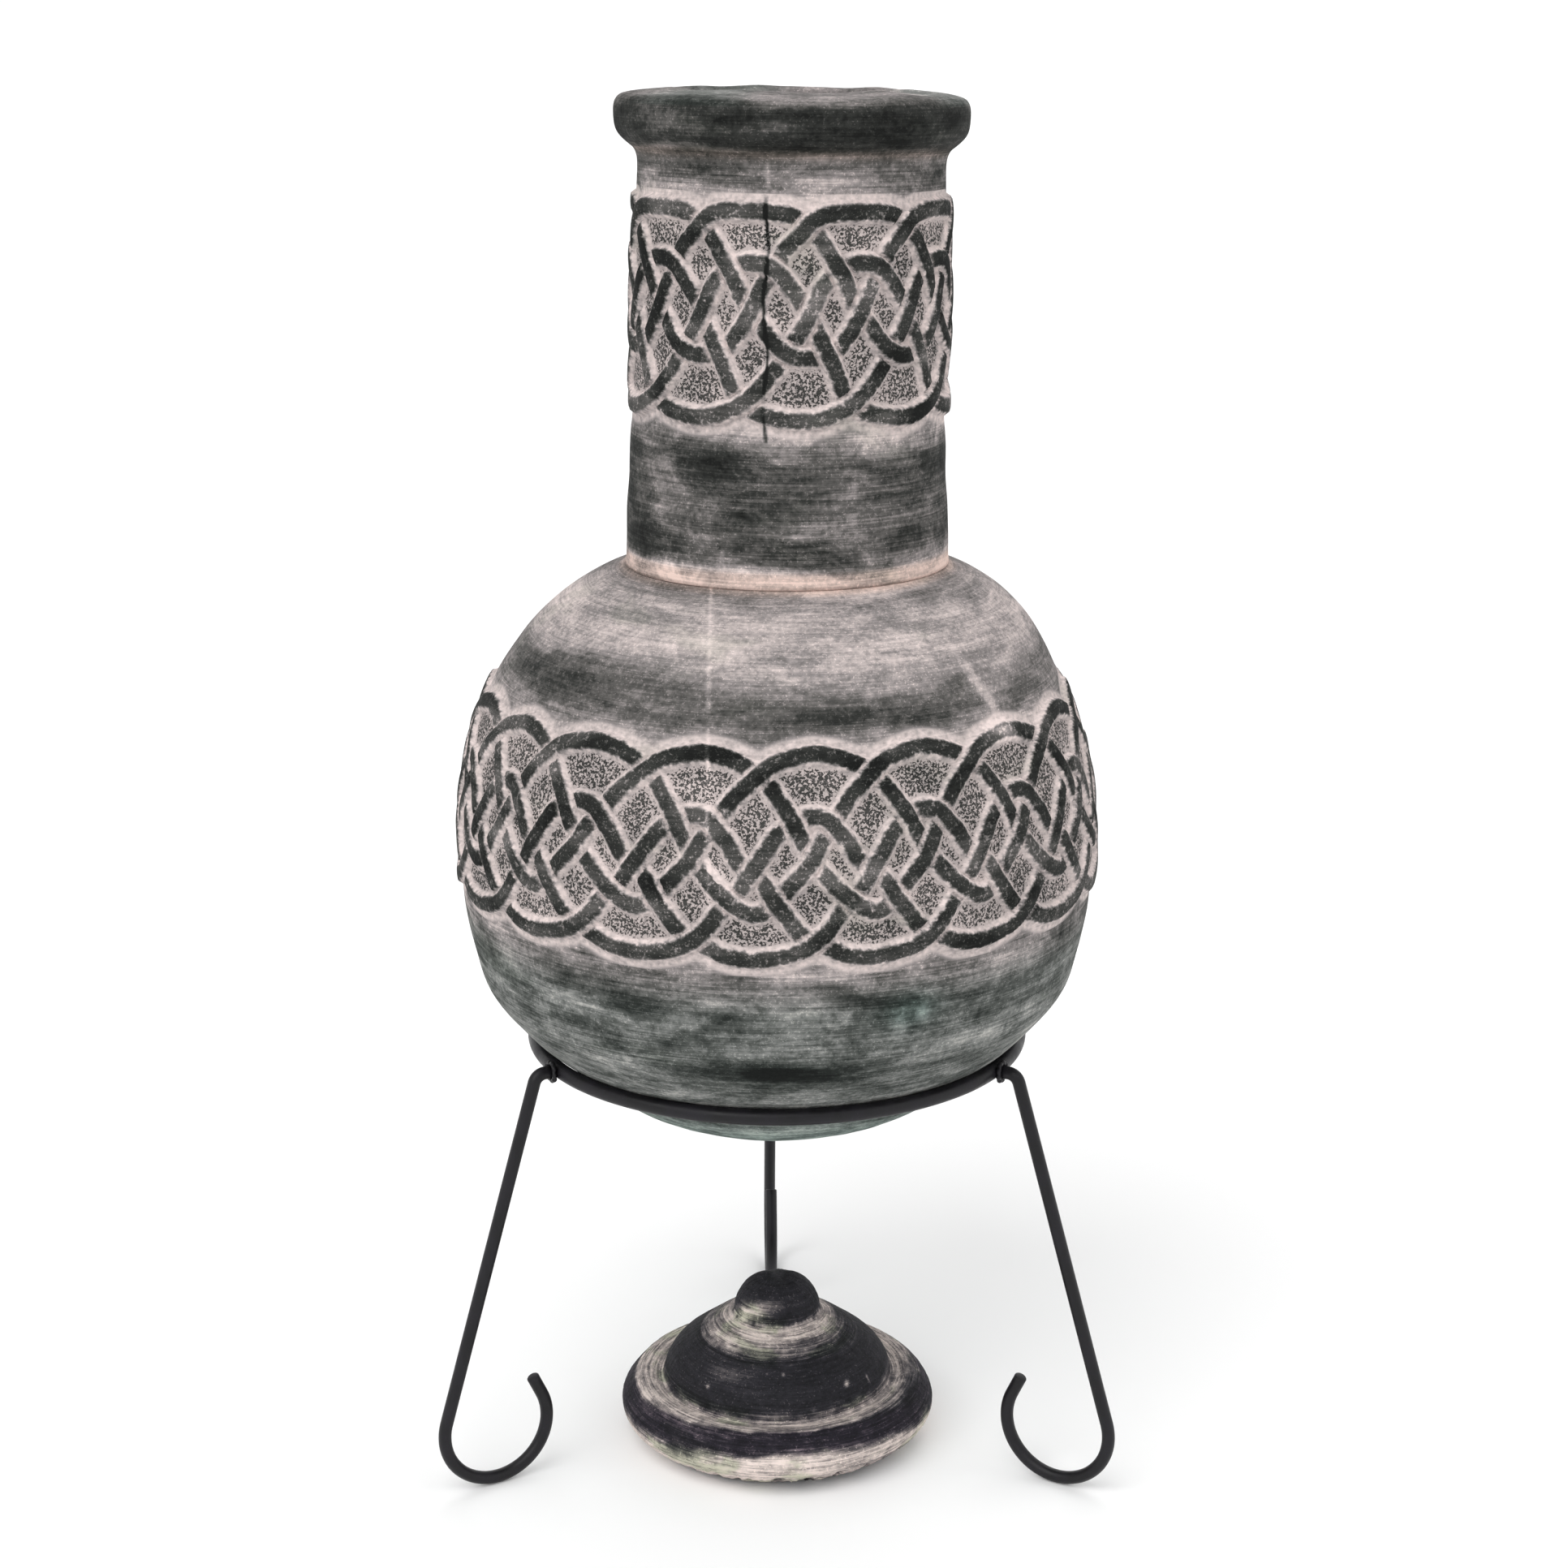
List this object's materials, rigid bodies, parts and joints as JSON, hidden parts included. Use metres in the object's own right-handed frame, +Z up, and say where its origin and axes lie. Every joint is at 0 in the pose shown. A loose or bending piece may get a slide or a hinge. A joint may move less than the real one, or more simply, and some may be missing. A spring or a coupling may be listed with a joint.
{
  "type": "chiminea",
  "caption": "Round-bellied fired-clay garden chiminea with a tall neck and woven-knot relief bands, in a three-legged scroll-foot rod stand, with its loose clay lid.",
  "frame": {"origin": "on the ground, in the middle of the object's footprint; the clay's axis is 25.3 mm to -Y of it", "axes": "+Z up along the neck; +Y towards the fire mouth and the back leg; +X to the right seen from the side away from the mouth"},
  "size_m": [0.5182, 0.5467, 1.0511],
  "materials": {
    "painted_clay": "charcoal-green paint brushed and rubbed back to pinkish clay, matt",
    "lid_clay": "black-green paint over pale pinkish clay, worn and chalky, matt",
    "black_iron": "satin black paint on steel rod"
  },
  "bodies": {
    "stand": {"stand_ring": "black_iron", "leg_front_left": "black_iron", "leg_front_right": "black_iron", "leg_back": "black_iron", "weld_front_left": "black_iron", "weld_front_right": "black_iron", "weld_back": "black_iron"},
    "chiminea": {"belly": "painted_clay", "neck": "painted_clay", "mouth_lip": "painted_clay"},
    "lid": {"lid": "lid_clay"}
  },
  "joints": [
    {"name": "clay_lift", "type": "slide", "parent": "stand", "child": "chiminea", "axis": [0, 0, 1], "range_m": [0, 0.3]},
    {"name": "lid_draw_out", "type": "slide", "parent": "stand", "child": "lid", "axis": [0, -1, 0], "range_m": [0, 0.6]}
  ]
}
